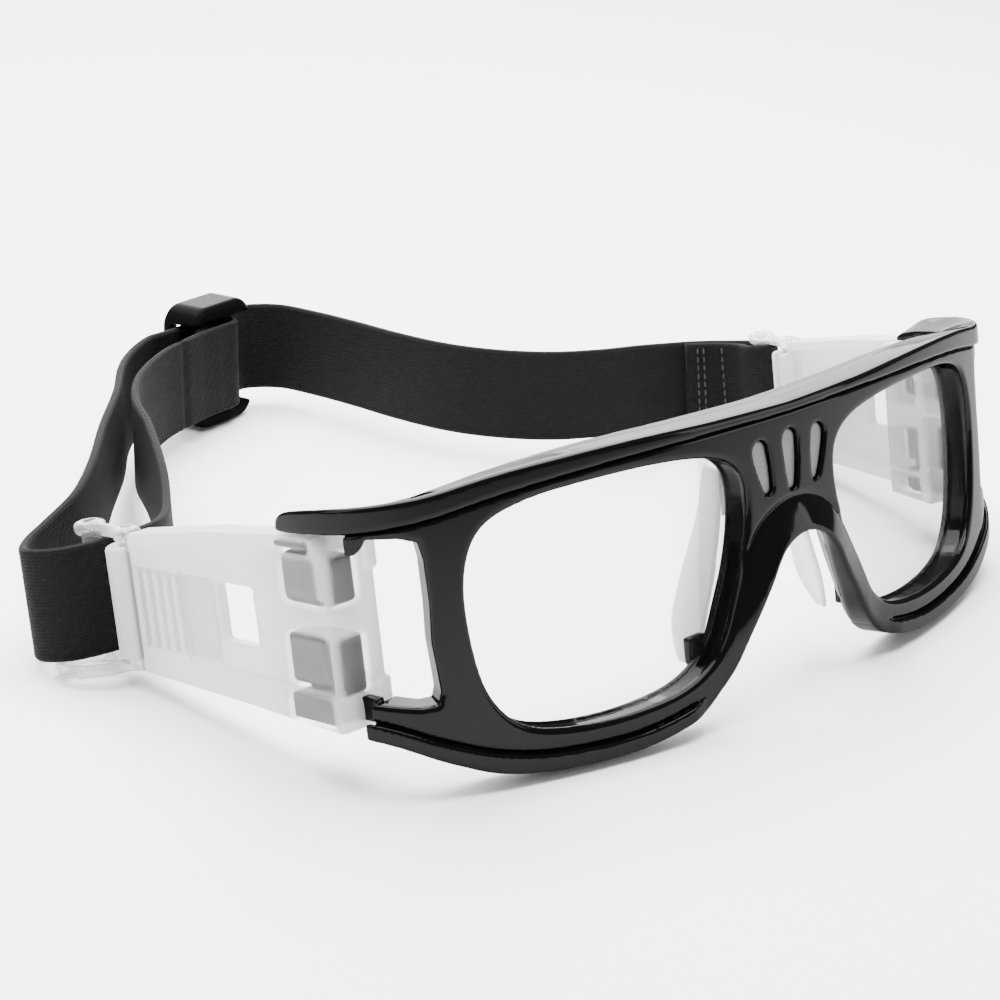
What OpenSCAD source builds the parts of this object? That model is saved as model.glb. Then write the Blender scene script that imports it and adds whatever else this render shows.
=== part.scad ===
// Sports protective goggles standing on a table, ready to wear.
// A wrap-round front frame carries two lenses and a soft nose pad. A soft side
// shield hinges on each end of the frame, a clear ring swivels in each shield,
// and one elastic strap runs from ring to ring through a sliding adjuster.
// Right and left are the wearer's: the wearer's right is -X, the front faces -Y.
// Front parts are drawn upright in the frame's own axes, then leaned back by
// frame_lean, because the low rings at the back let the shields sink.

/* [Frame] */
// Radius that the front face wraps round the brow
wrap_radius = 194; // [170:1:230]
// Half of the width over the side arms
half_width = 82; // [80:1:84]
// Radius that turns the front face into the sides
end_radius = 21; // [18:1:24]
// Depth of the rims, front to back
rim_depth = 6; // [5.5:0.5:7]
// Depth of the brow bar, front to back
brow_depth = 9; // [8:0.5:10]
// Radius of the back of the brow bar, which thins it towards the ends
brow_back_radius = 259; // [240:1:280]
// How far the brow and the lower ledge stand proud of the front face
ledge_proud = 0.8; // [0.4:0.1:1.2]
// How far the lip of the nose arch stands forward of the front face
lip_proud = 2.1; // [1.2:0.1:2.4]
// Backward lean of the whole front as it stands
frame_lean = 9.4; // [8:0.2:11]
// Height that brings the lowest edge of the rims to the table
frame_lift = 5.25; // [4:0.05:7]

/* [Lenses] */
// Thickness of the polycarbonate lenses
lens_thick = 2; // [1.6:0.1:2.4]
// Distance from the front face to the lens
lens_setback = 2.6; // [2:0.1:3]
// How far the lens edge reaches into its groove
lens_bite = 1; // [0.6:0.1:1.4]

/* [Vents] */
// Depth of the three bridge recesses
vent_depth = 2; // [1.6:0.1:2.4]
// Thickness of the grey inlay in each recess
inlay_thick = 1.2; // [0.8:0.1:1.4]

/* [Side shields] */
// Outward splay of the wearer's left shield as it stands
left_splay = 16; // [10:1:17]
// Thickness of the shield's side wall
shield_wall = 2.4; // [2:0.1:3]
// Radius of the rear barrel that holds the ring
barrel_radius = 4; // [3.6:0.1:4.4]
// Radius of each hinge pin
pin_radius = 1.2; // [1:0.05:1.4]

/* [Rings] */
// Distance from the swivel bar to the strap bar
ring_reach = 11; // [10:0.5:11.5]
// Radius of the swivel bar
swivel_radius = 1.5; // [1.3:0.05:1.6]
// Radius of the strap bar
strap_bar_radius = 1.7; // [1.5:0.1:1.8]

/* [Strap] */
// Width of the elastic strap
strap_width = 20.2; // [19:0.2:21]
// Thickness of one layer of strap
strap_thick = 1.6; // [1.2:0.1:1.8]
// Height of the strap's lower edge above the table
strap_base = 3.6; // [3.4:0.1:4]

/* [Slider] */
// Length of the slider along the strap
slider_length = 20; // [19:0.2:22]
// Height of the slider
slider_height = 28; // [27.6:0.2:29]
// Direction of the strap through the slider, from +X
slider_angle = 12; // [8:1:16]

/* [Hidden] */

round_fn = 64;
run_gap = 0.05;          // radial clearance of a turning pin
part_gap = 0.6;          // gap between strap pieces on different bodies
over = 1;                // overshoot of a cutting tool
middle = [3.8, 98.1, 0]; // middle of the whole footprint, which is the origin

// Half outlines of the front, x to the wearer's left, z up, from the middle out.
brow_top = [[0, 46.4], [20, 46.8], [40, 47.3], [57, 46.8], [70, 45.4], [half_width, 43.6]];
brow_ridge = [[0, 44.8], [20, 44.9], [40, 44.5], [57, 43.4], [72, 41.4], [half_width, 40]];
rim_foot = [
  [half_width, 9.6], [78, 7.2], [70.5, 2.6], [63, -0.9], [53, -2.8],
  [38, -3.46], [26, -1.6], [21, 1.2], [17.2, 4.9]
];
nose_edge = [
  [17.2, 4.9], [14.1, 9.4], [11.5, 13.2], [9.5, 16.4], [7.4, 19.9], [5.2, 22.4],
  [2.4, 23.8], [0, 24.2]
];
foot_ridge = [
  [half_width, 12.6], [78, 10.2], [71, 6.2], [63, 2.6], [53, 0.2],
  [38, -0.7], [26, 1], [22.4, 3.4]
];
window_edge = [
  [half_width, 40.4], [74, 39.2], [71.6, 38.2], [71, 35], [71.2, 22],
  [70.6, 14], [71.4, 12], [73.5, 12.2], [half_width, 15.6]
];
// Lens opening on the wearer's left, anticlockwise from the nose.
lens_edge = [
  [11.1, 31], [12.7, 23], [16.1, 15], [20.2, 7.8], [27, 3.8], [38, 2.4], [50, 3],
  [58.5, 5.6], [63.6, 12], [65.6, 22], [65.4, 32], [62, 38.8], [54, 41.8],
  [42, 42.6], [28, 42.3], [17.5, 40.6], [12.2, 37]
];
slot_top = [7.5, 39.2];
slot_foot = [6.2, 32.8];
slot_top_radius = 2;
slot_foot_radius = 1.4;
// Corners of one wing of the nose pad: front edge, then the edge that rests on the nose.
pad_tips = [
  [9.6, 7.9, 36], [11, 8, 25], [15.4, 8.6, 11], [16.2, 9.3, 4.8],
  [8, 13, 35], [9.6, 14, 27.5], [14, 14.6, 18], [16.6, 14.6, 10], [18.6, 11.8, 4.2]
];

// Bow of the right ring's lower link, under the fold of the strap.
ring_bow = [
  [80.5, 81.2], [85.5, 82.4], [89, 85.6], [90.2, 89.2], [88.6, 92.4], [84.4, 93.4], [80.6, 92]
];

// Hinge axis of the wearer's left shield, and the swivel axis behind it.
hinge_x = 77.4;
hinge_y = 30.5;
swivel_x = 79.5;
swivel_y = 80.5;
block_inner = 72;
block_front = 24.5;
block_back = 37;
block_foot = 8.8;
block_top = 40;
arm_z = 40.4;
arm_inner = 75.2;
end_x = half_width - end_radius;
end_y = wrap_radius - sqrt(pow(wrap_radius - end_radius, 2) - pow(end_x, 2));
tongue_z = 10.3;
tongue_thick = 4;
tongue_half = 1;
tongue_radius = 4.2;
swing = 18.5;            // half angle that the tongue pocket leaves free
barrel_z = 13;
barrel_height = 19.6;
ring_z = 10.5;
ring_bar = 2.2;
ring_height = 25;
ring_sweep = 14.3;       // radius inside which strap rides on the right ring
end_sweep = 22;          // the same for the sewn end on the left ring
right_sweep = 90;        // radius about the hinge inside which strap rides on the shield
left_sweep = 84;
loop_z = 12.9;           // lower edge of strap pieces that lean with the rings

// Strap centre lines on the table, from the wearer's left ring round the back.
route_left = [
  [97.6, 97], [95.5, 102.5], [87, 107], [76, 109.8], [65.5, 112.8], [56.5, 118.5],
  [49, 127.5], [44, 138.5]
];
route_main = [
  [76, 109.8], [65.5, 112.8], [56.5, 118.5], [49, 127.5], [44, 138.5], [41.6, 152], [40.6, 166],
  [39, 179], [36.6, 188], [30.4, 192.85], [17, 190], [5.26, 187.5], [-1.6, 186.04], [-11, 179.6],
  [-19, 171.6], [-29, 159.2], [-43.5, 143.3], [-57, 127.6], [-68, 116.7], [-79, 109]
];
route_outer = [
  [-43.5, 143.3], [-57, 127.6], [-68, 116.7], [-79, 109], [-87, 103], [-91.2, 97], [-91, 91]
];
route_return = [
  [4.9, 179.7], [-6, 174.8], [-19, 165], [-29, 152.5], [-37, 137], [-47.5, 118.5], [-55, 106.5],
  [-62, 97]
];
route_inner = [[-29, 152.5], [-37, 137], [-47.5, 118.5], [-55, 106.5], [-62, 97], [-70, 89]];
route_loop = [
  [-60, 94], [-65, 90], [-71, 87.8], [-78, 87.1], [-84, 87.5], [-88.6, 89.8], [-90.6, 94],
  [-90.8, 99]
];

function reflect(points) = [for (i = [len(points) - 1:-1:0]) [-points[i][0], points[i][1]]];
function pick(points, i, closed) =
  closed ? points[(i + len(points)) % len(points)] : points[max(0, min(len(points) - 1, i))];
function blend(a, b, c, d, t) =
  0.5 * (2 * b + (c - a) * t + (2 * a - 5 * b + 4 * c - d) * t * t + (3 * b - a - 3 * c + d) * t * t * t);
// Smooth curve through every point, with steps pieces between neighbours.
function smooth(points, steps, closed = false) = [
  for (i = [0:len(points) - (closed ? 1 : 2)], j = [0:steps - 1])
    blend(pick(points, i - 1, closed), points[i], pick(points, i + 1, closed),
      pick(points, i + 2, closed), j / steps),
  if (!closed) points[len(points) - 1]
];
function ahead(path, i) = path[min(len(path) - 1, i + 1)] - path[max(0, i - 1)];
function beside(path, i, d) = path[i] + d * [-ahead(path, i)[1], ahead(path, i)[0]] / norm(ahead(path, i));
function ribbon(path, thick) = concat(
  [for (i = [0:len(path) - 1]) beside(path, i, thick / 2)],
  [for (i = [len(path) - 1:-1:0]) beside(path, i, -thick / 2)]
);
function front_outline() = let (
  half = concat(smooth(brow_top, 3), window_edge, smooth(rim_foot, 3),
    smooth(nose_edge, 2))
) concat(half, reflect([for (i = [1:len(half) - 2]) half[i]]));
function band_outline(upper, lower) = let (
  half = concat(smooth(upper, 3), reversed(smooth(lower, 3)))
) concat(half, reflect([for (i = [1:len(half) - 2]) half[i]]));
function reversed(points) = [for (i = [len(points) - 1:-1:0]) points[i]];

// Placing helpers.
module lean() {
  translate([0, 0, frame_lift] - middle) rotate([-frame_lean, 0, 0]) children();
}
// Parts of a side are drawn on the wearer's left; the right side is its mirror.
module at_side(is_left) {
  splay = is_left ? left_splay : 0;
  lean() mirror([is_left ? 0 : 1, 0, 0]) translate([hinge_x, hinge_y, 0])
    rotate([0, 0, -splay]) translate([-hinge_x, -hinge_y, 0]) children();
}
// A plate drawn in x and z, standing up and running from y = from to y = to.
module upright(from, to) {
  translate([0, to, 0]) rotate([90, 0, 0]) linear_extrude(to - from) children();
}
// A plate drawn in y and z, running from x = from to x = to.
module sideways(from, to) {
  translate([from, 0, 0]) rotate([90, 0, 90]) linear_extrude(to - from) children();
}
// Everything behind the front surface, seen from above: wrap, rounded ends, sides.
module front_plan(depth, extra) {
  translate([0, 0, -20 - extra]) intersection() {
    post(0, wrap_radius, 0, 90 + 2 * extra, wrap_radius - depth);
    linear_extrude(90 + 2 * extra) polygon([
      [0, wrap_radius], [-2 * end_x, 2 * end_y - wrap_radius], [2 * end_x, 2 * end_y - wrap_radius]
    ]);
  }
  both_sides() {
    post(end_x, end_y, -20 - extra, 90 + 2 * extra, end_radius - depth);
    translate([-over, end_y, -20 - extra])
      cube([half_width - depth + over, 12 + extra, 90 + 2 * extra]);
  }
}
module wrapped(front, back) {
  intersection() {
    difference() {
      front_plan(front, 0);
      front_plan(back, over);
    }
    upright(-4, end_y) children();
  }
}
module both_sides() {
  children();
  mirror([1, 0, 0]) children();
}
module post(x, y, z, height, radius) {
  translate([x, y, z]) cylinder(h = height, r = radius, $fn = round_fn);
}
module slot_shape(top, foot, trim) {
  hull() {
    translate(top) circle(r = slot_top_radius - trim, $fn = 32);
    translate(foot) circle(r = slot_foot_radius - trim, $fn = 32);
  }
}
module vent_slots(trim) {
  both_sides() slot_shape(slot_top, slot_foot, trim);
  slot_shape([0, slot_top[1] + 0.6], [0, slot_foot[1] - 0.4], trim);
}

// Front frame.
module brow_bar() {
  intersection() {
    difference() {
      front_plan(-ledge_proud, 0);
      post(0, brow_depth + brow_back_radius, -21, 92, brow_back_radius);
    }
    upright(-4, end_y) polygon(band_outline(brow_top, brow_ridge));
  }
}
module side_arm() {
  intersection() {
    front_plan(-ledge_proud, 0);
    sideways(arm_inner, half_width) polygon([
      [15.3, 43.7], [28, 43.5], [33, 42.6], [35.3, 41.2], [35.3, arm_z], [26.8, arm_z],
      [24.4, 39.4], [23.6, 36.6], [20.6, 37.4], [19.4, 40], [15.3, 40]
    ]);
  }
}
module pivot_tongue() {
  post(hinge_x, hinge_y, tongue_z, tongue_thick, tongue_radius);
  translate([hinge_x - tongue_half, 20.4, tongue_z])
    cube([2 * tongue_half, hinge_y - 20.4, tongue_thick]);
}
module pad_tab() {
  translate([17.8, 6.25, 5.4]) cube([4.2, 1.75, 4.8]);
}
// Zone within reach of the nose opening and above a height.
module nose_zone(reach, above) {
  intersection() {
    offset(r = reach) polygon(concat(nose_edge, reflect([for (i = [0:6]) nose_edge[i]])));
    translate([-30, above]) square([60, 30]);
  }
}
// The edge over the nose stands forward in a lip, fullest at the top.
module nose_lip() {
  for (k = [0:2]) wrapped(-lip_proud * (k + 1) / 3, 1) intersection() {
    polygon(front_outline());
    nose_zone(5.4 - 1.6 * k, 6 + 3 * k);
  }
}
module frame_blank() {
  wrapped(0, rim_depth) polygon(front_outline());
  brow_bar();
  both_sides() {
    wrapped(-ledge_proud, rim_depth)
      polygon(concat(smooth(foot_ridge, 3), reversed(smooth([for (i = [0:7]) rim_foot[i]], 3))));
    side_arm();
  }
  nose_lip();
}
module swing_clearance() {
  post(hinge_x, hinge_y, -10, 26, 9.25);
  post(hinge_x, hinge_y, block_foot, arm_z - block_foot, 8.4);
}
module front_frame() {
  color("#141416") lean() {
    difference() {
      union() {
        difference() {
          frame_blank();
          both_sides() swing_clearance();
        }
        both_sides() pivot_tongue();
      }
      wrapped(2.6, rim_depth + over) nose_zone(2.2, 9);
      wrapped(1.2, rim_depth + over) nose_zone(1.4, 15);
      both_sides() {
        upright(-4, 40) polygon(smooth(lens_edge, 4, true));
        wrapped(lens_setback, lens_setback + lens_thick + 0.2)
          offset(r = lens_bite + 0.1) polygon(smooth(lens_edge, 4, true));
        post(hinge_x, hinge_y, tongue_z - over, tongue_thick + 2 * over, pin_radius + run_gap);
        post(hinge_x, hinge_y, arm_z - over, 1.9 + over, pin_radius + run_gap);
      }
      wrapped(-2, vent_depth) vent_slots(0);
    }
    both_sides() pad_tab();
  }
}

// Lenses, nose pad and inlays.
module lens(is_left) {
  color("#eef3f6", 0.35) lean() mirror([is_left ? 0 : 1, 0, 0])
    wrapped(lens_setback + 0.1, lens_setback + 0.1 + lens_thick)
      offset(r = lens_bite) polygon(smooth(lens_edge, 4, true));
}
module pad_wing() {
  hull() for (tip = pad_tips) translate(tip) sphere(r = 0.9, $fn = 16);
}
module nose_pad() {
  color("#e8ecee", 0.6) lean() {
    both_sides() pad_wing();
    hull() both_sides() {
      translate([9.6, 7.9, 36]) sphere(r = 0.9, $fn = 16);
      translate([9, 7.9, 28]) sphere(r = 0.9, $fn = 16);
    }
  }
}
module vent_inlay(top, foot) {
  color("#9a9a9c") lean() wrapped(vent_depth - inlay_thick, vent_depth)
    slot_shape(top, foot, 0.05);
}
module vent_inlay_right() {
  vent_inlay([-slot_top[0], slot_top[1]], [-slot_foot[0], slot_foot[1]]);
}
module vent_inlay_centre() {
  vent_inlay([0, slot_top[1] + 0.6], [0, slot_foot[1] - 0.4]);
}
module vent_inlay_left() {
  vent_inlay(slot_top, slot_foot);
}

// Side shield with its hinge cores and pins.
module shield_outline() {
  polygon([
    [block_back, 9.4], [48, 10], [76.4, 11.1], [76.4, barrel_z], [80.5, barrel_z],
    [80.5, barrel_z + barrel_height], [76.4, barrel_z + barrel_height], [76.4, 35.3],
    [55, 38.2], [block_back, 39.8]
  ]);
}
module block_outline() {
  polygon([
    [block_front, block_foot], [block_back, 9.4], [block_back, 39.8], [block_back - 1, block_top],
    [block_front, block_top], [block_front, 15.4], [23.8, 14.9], [23.3, 13.4],
    [23.2, 11.4], [23.7, 9.6]
  ]);
}
module edge_flanges() {
  polygon([[36.5, 9.4], [48, 10], [76.4, 11.1], [76.4, 12.7], [48, 11.6], [36.5, 11]]);
  polygon([[36.5, 39.8], [55, 38.2], [76.4, 35.3], [76.4, 33.7], [55, 36.6], [36.5, 38.2]]);
}
module tongue_pocket() {
  reach = hinge_y - block_front + 5;
  post(hinge_x, hinge_y, tongue_z - 0.4, tongue_thick + 0.8, tongue_radius + 0.4);
  translate([hinge_x, hinge_y, tongue_z - 0.4]) linear_extrude(tongue_thick + 0.8) polygon([
    [-tongue_half - 0.4, 0], [tongue_half + 0.4, 0],
    [tongue_half + 0.4 + reach * tan(swing), -reach],
    [-tongue_half - 0.4 - reach * tan(swing), -reach]
  ]);
}
core_x = block_inner + 1.4;
core_y = block_front + 1.4;
core_width = half_width - block_inner - 2.8;
core_length = block_back - block_front - 2.4;
module core_block(z, height, gap) {
  translate([core_x - gap, core_y - gap, z - gap])
    cube([core_width + 2 * gap, core_length + 2 * gap, height + 2 * gap]);
}
module side_shield(is_left) {
  color("#e9edf0", 0.6) at_side(is_left) difference() {
    union() {
      sideways(half_width - shield_wall, half_width) shield_outline();
      sideways(block_inner, half_width) block_outline();
      sideways(half_width - 5.5, half_width - 0.5) edge_flanges();
      post(swivel_x, swivel_y, barrel_z, barrel_height, barrel_radius);
      for (i = [0:4]) translate([half_width - 0.2, 64 + 2.6 * i, 16]) cube([0.8, 1.1, 13.4]);
    }
    translate([half_width - 0.7, 54.5, 16.5]) cube([2, 7.5, 13.5]);
    translate([70, 44, 20]) cube([20, 9.4, 10]);
    post(swivel_x, swivel_y, barrel_z - over, barrel_height + 2 * over, swivel_radius + run_gap);
    translate([swivel_x - 6, swivel_y - 0.8, barrel_z - over]) cube([6, 1.6, barrel_height + 2 * over]);
    tongue_pocket();
    core_block(28.4, 9, 0.1);
    core_block(15.9, 7.8, 0.1);
    post(hinge_x, hinge_y, 9.3, 12, pin_radius + run_gap);
    post(hinge_x, hinge_y, 30, 12, pin_radius + run_gap);
  }
}
module hinge_core(is_left, z, height) {
  color("#3c3c40") at_side(is_left) difference() {
    core_block(z, height, 0);
    post(hinge_x, hinge_y, z - over, height + 2 * over, pin_radius);
  }
}
module hinge_pin(is_left, z, height) {
  color("#b9bcc0") at_side(is_left) post(hinge_x, hinge_y, z, height, pin_radius);
}

// Clear ring: a swivel bar in the shield's barrel and a bar for the strap.
module ring_link() {
  hull() {
    translate([swivel_x, swivel_y]) circle(r = 2.4, $fn = 32);
    translate([swivel_x, swivel_y + ring_reach]) circle(r = 2.8, $fn = 32);
  }
}
module strap_ring(is_left) {
  color("#f4f6f8", 0.45) at_side(is_left) {
    translate([0, 0, ring_z]) linear_extrude(ring_bar) {
      ring_link();
      if (!is_left) polygon(ribbon(smooth(ring_bow, 2), 2.2));
    }
    translate([0, 0, ring_z + ring_height - ring_bar]) linear_extrude(ring_bar) ring_link();
    post(swivel_x, swivel_y, ring_z, ring_height, swivel_radius);
    post(swivel_x, swivel_y + ring_reach, ring_z, ring_height, strap_bar_radius);
  }
}

// Slider and strap. The slider is drawn at its own middle, strap along x.
module at_slider() {
  translate([17, 190, 0] - middle) rotate([0, 0, slider_angle]) children();
}
module slider_rail(z, height) {
  translate([-slider_length / 2, -5.6, z]) cube([slider_length, 9.6, height]);
}
module slider() {
  color("#101012") at_slider() {
    slider_rail(0, 3.2);
    slider_rail(slider_height - 3.6, 3.6);
    translate([0.4, -5.6, 0]) cube([2.4, 2.6, slider_height]);
    for (x = [-slider_length / 2, slider_length / 2 - 2.4])
      translate([x, 1.4, 0]) cube([2.4, 2.6, slider_height]);
  }
}
module strap_band(route) {
  translate([0, 0, strap_base] - middle) linear_extrude(strap_width)
    polygon(ribbon(smooth(route, 4), strap_thick));
}
module leaning_band(route) {
  lean() translate([0, 0, loop_z]) linear_extrude(strap_width)
    polygon(ribbon(smooth(route, 4), strap_thick));
}
module hinge_sweep(is_left, radius) {
  at_side(is_left) post(hinge_x, hinge_y, -60, 160, radius);
}
module ring_zone(is_left, radius) {
  at_side(is_left) post(swivel_x, swivel_y, -60, 160, radius);
}
module strap_main() {
  color("#222224") difference() {
    strap_band(route_main);
    hinge_sweep(true, left_sweep + part_gap);
    hinge_sweep(false, right_sweep + part_gap);
  }
}
module strap_return_leg() {
  color("#2a2a2c") difference() {
    strap_band(route_return);
    hinge_sweep(false, right_sweep + part_gap);
  }
}
module strap_side(is_left, route, zone, sweep) {
  color("#262628") intersection() {
    difference() {
      strap_band(route);
      ring_zone(is_left, zone + part_gap);
    }
    hinge_sweep(is_left, sweep);
  }
}
module strap_loop_right() {
  color("#242426") intersection() {
    leaning_band(route_loop);
    ring_zone(false, ring_sweep);
  }
}
module strap_end_left() {
  bar_y = swivel_y + ring_reach;
  color("#242426") at_side(true) difference() {
    translate([0, 0, loop_z]) linear_extrude(strap_width) hull() {
      translate([swivel_x, bar_y]) circle(r = strap_bar_radius + 0.3 + strap_thick, $fn = 32);
      translate([swivel_x - 1, bar_y + 8.5]) circle(r = strap_thick, $fn = 32);
    }
    post(swivel_x, bar_y, loop_z - over, strap_width + 2 * over, strap_bar_radius + 0.3);
  }
}
module strap_sewn_loop() {
  color("#2a2a2c") at_slider() translate([0, 0, strap_base]) linear_extrude(strap_width) difference() {
    hull() {
      translate([1.6, -4.3]) circle(r = 3.3, $fn = 32);
      translate([-4.4, -6]) circle(r = strap_thick, $fn = 32);
    }
    translate([-0.1, -5.9]) square([3.4, 3.2]);
  }
}

front_frame();
lens(false);  // lens_right
lens(true);  // lens_left
nose_pad();
vent_inlay_right();
vent_inlay_centre();
vent_inlay_left();
side_shield(false);  // side_shield_right
side_shield(true);  // side_shield_left
hinge_core(false, 28.4, 9);  // hinge_core_upper_right
hinge_core(false, 15.9, 7.8);  // hinge_core_lower_right
hinge_core(true, 28.4, 9);  // hinge_core_upper_left
hinge_core(true, 15.9, 7.8);  // hinge_core_lower_left
hinge_pin(false, 30.2, 12);  // hinge_pin_upper_right
hinge_pin(false, 9.5, 11.6);  // hinge_pin_lower_right
hinge_pin(true, 30.2, 12);  // hinge_pin_upper_left
hinge_pin(true, 9.5, 11.6);  // hinge_pin_lower_left
strap_ring(false);  // strap_ring_right
strap_ring(true);  // strap_ring_left
slider();
strap_main();
strap_return_leg();
strap_sewn_loop();
strap_side(false, route_outer, ring_sweep, right_sweep);  // strap_side_outer_right
strap_side(false, route_inner, ring_sweep, right_sweep);  // strap_side_inner_right
strap_loop_right();
strap_side(true, route_left, end_sweep, left_sweep);  // strap_side_left
strap_end_left();
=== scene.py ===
import math
import bpy
import numpy as np
from mathutils import Matrix, Vector


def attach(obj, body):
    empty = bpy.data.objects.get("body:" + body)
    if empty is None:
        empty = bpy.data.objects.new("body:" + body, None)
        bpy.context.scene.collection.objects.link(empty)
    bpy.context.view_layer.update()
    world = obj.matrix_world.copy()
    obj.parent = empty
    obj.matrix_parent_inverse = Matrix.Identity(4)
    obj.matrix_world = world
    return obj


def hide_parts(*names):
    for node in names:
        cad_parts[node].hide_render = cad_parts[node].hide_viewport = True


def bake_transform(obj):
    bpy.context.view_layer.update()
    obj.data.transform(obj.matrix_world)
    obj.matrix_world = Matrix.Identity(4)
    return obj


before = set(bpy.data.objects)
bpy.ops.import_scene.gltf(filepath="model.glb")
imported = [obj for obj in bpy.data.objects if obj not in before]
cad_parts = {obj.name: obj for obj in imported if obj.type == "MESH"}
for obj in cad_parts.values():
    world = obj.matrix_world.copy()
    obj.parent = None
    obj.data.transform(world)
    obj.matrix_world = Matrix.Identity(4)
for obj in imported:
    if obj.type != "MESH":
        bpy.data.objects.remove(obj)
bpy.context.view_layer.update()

# Driving dimensions of the CAD part, in millimetres and radians.
WRAP, HALF, END = 194.0, 82.0, 21.0
RIM, BROW, PROUD = 6.0, 9.0, 0.8
LEAN, LIFT = math.radians(9.4), 5.25
MIDDLE = np.array([3.8, 98.1, 0.0])
HINGE, SWIVEL = (77.4, 30.5), (79.5, 80.5)
SPLAY = math.radians(16)
RING_Z, RING_H, REACH = 10.5, 25.0, 11.0
STRAP_W, STRAP_T, STRAP_BASE, LOOP_Z = 20.2, 1.6, 3.6, 12.9
SLIDER_L, SLIDER_H, SLIDER_A = 20.0, 28.0, math.radians(12)
SLIDER_AT = (17, 190)
LENS_DEPTH, INLAY_DEPTH = (2.7, 4.7), (0.8, 2.0)
LENS_BITE, BEAD, GROOVE = 0.6, 0.45, 0.5
# How far the frame stays from the hinge axes, at the foot and under the brow, and up to what height.
FOOT_CLEAR, BROW_CLEAR = 9.25, 8.4
FOOT_TOP, BROW_FOOT = 16.0, 40.35
# Shield: its wall's two faces, and its ribs. Ring: the radius of its links.
WALL_IN, WALL_OUT = 79.6, 82.0
RIBS, RIB_FROM, RIB_STEP, RIB_W = 5, 63.6, 2.7, 1.2
LINK = 1.1
LEAN_SIN, LEAN_COS = math.sin(LEAN), math.cos(LEAN)
END_X = HALF - END
END_Y = WRAP - math.sqrt((WRAP - END) ** 2 - END_X ** 2)
TURN = math.asin(END_X / (WRAP - END))
ARC_END = WRAP * TURN
CORNER_END = ARC_END + END * (math.pi / 2 - TURN)


# ---------- small maths ----------
def step(v, a, b):
    """0 up to a and 1 from b on, with a smooth rise between."""
    t = np.clip((v - a) / (b - a), 0, 1)
    return t * t * (3 - 2 * t)


def smooth_line(points, steps, closed=False):
    """Catmull-Rom curve through the points."""
    p = np.array(points, float)
    n = len(p)
    out = []
    for i in range(n if closed else n - 1):
        if closed:
            a, b, c, d = (p[(i + k) % n] for k in (-1, 0, 1, 2))
        else:
            a, b, c, d = p[max(i - 1, 0)], p[i], p[i + 1], p[min(i + 2, n - 1)]
        for t in np.arange(steps) / steps:
            out.append(0.5 * (2 * b + (c - a) * t + (2 * a - 5 * b + 4 * c - d) * t * t
                              + (3 * b - a - 3 * c + d) * t ** 3))
    if not closed:
        out.append(p[-1])
    return np.array(out)


def to_s(p):
    """A point (x, z) of the front outline as (distance round the wrap, z)."""
    x = p[0]
    if x <= WRAP * math.sin(TURN):
        return (WRAP * math.asin(x / WRAP), p[1])
    return (ARC_END + END * (math.asin(min(1.0, (x - END_X) / END)) - TURN), p[1])


def wrap(s, z, d):
    """Plate coordinates (round the wrap, up, behind the front face) to the upright goggles."""
    a = np.abs(s)
    t1 = a / WRAP
    t2 = TURN + (a - ARC_END) / END
    x = np.where(a < ARC_END, (WRAP - d) * np.sin(t1),
                 np.where(a < CORNER_END, END_X + (END - d) * np.sin(t2), HALF - d))
    y = np.where(a < ARC_END, WRAP - (WRAP - d) * np.cos(t1),
                 np.where(a < CORNER_END, END_Y - (END - d) * np.cos(t2), END_Y + a - CORNER_END))
    return np.sign(s) * x, y, z


def lean(p):
    """Upright goggles to the table, in the row frame, in metres."""
    p = np.asarray(p, float)
    q = np.stack([p[:, 0], p[:, 1] * LEAN_COS + p[:, 2] * LEAN_SIN,
                  -p[:, 1] * LEAN_SIN + p[:, 2] * LEAN_COS + LIFT], 1)
    return (q - MIDDLE) * 0.001


def on_side(p, left):
    """A side part drawn on the wearer's left, to the upright goggles."""
    p = np.array(p, float)
    if left:
        x, y = p[:, 0] - HINGE[0], p[:, 1] - HINGE[1]
        c, s = math.cos(SPLAY), math.sin(SPLAY)
        p[:, 0], p[:, 1] = HINGE[0] + c * x + s * y, HINGE[1] - s * x + c * y
    else:
        p[:, 0] *= -1
    return p


# ---------- distance fields ----------
def poly_distance(points, X, Z, closed=True):
    """Distance to a polygon's edge, negative inside."""
    d2 = np.full(X.shape, 1e9)
    inside = np.zeros(X.shape, bool)
    n = len(points)
    for i in range(n if closed else n - 1):
        ax, az = points[i]
        bx, bz = points[(i + 1) % n]
        ex, ez = bx - ax, bz - az
        length2 = ex * ex + ez * ez
        if length2 < 1e-12:
            continue
        t = np.clip(((X - ax) * ex + (Z - az) * ez) / length2, 0, 1)
        d2 = np.minimum(d2, (X - ax - t * ex) ** 2 + (Z - az - t * ez) ** 2)
        if closed:
            cross = ((az > Z) != (bz > Z))
            if abs(ez) > 1e-12:
                inside ^= cross & (X < ax + (Z - az) * ex / ez)
    d = np.sqrt(d2)
    return np.where(inside, -d, d) if closed else d


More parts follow.
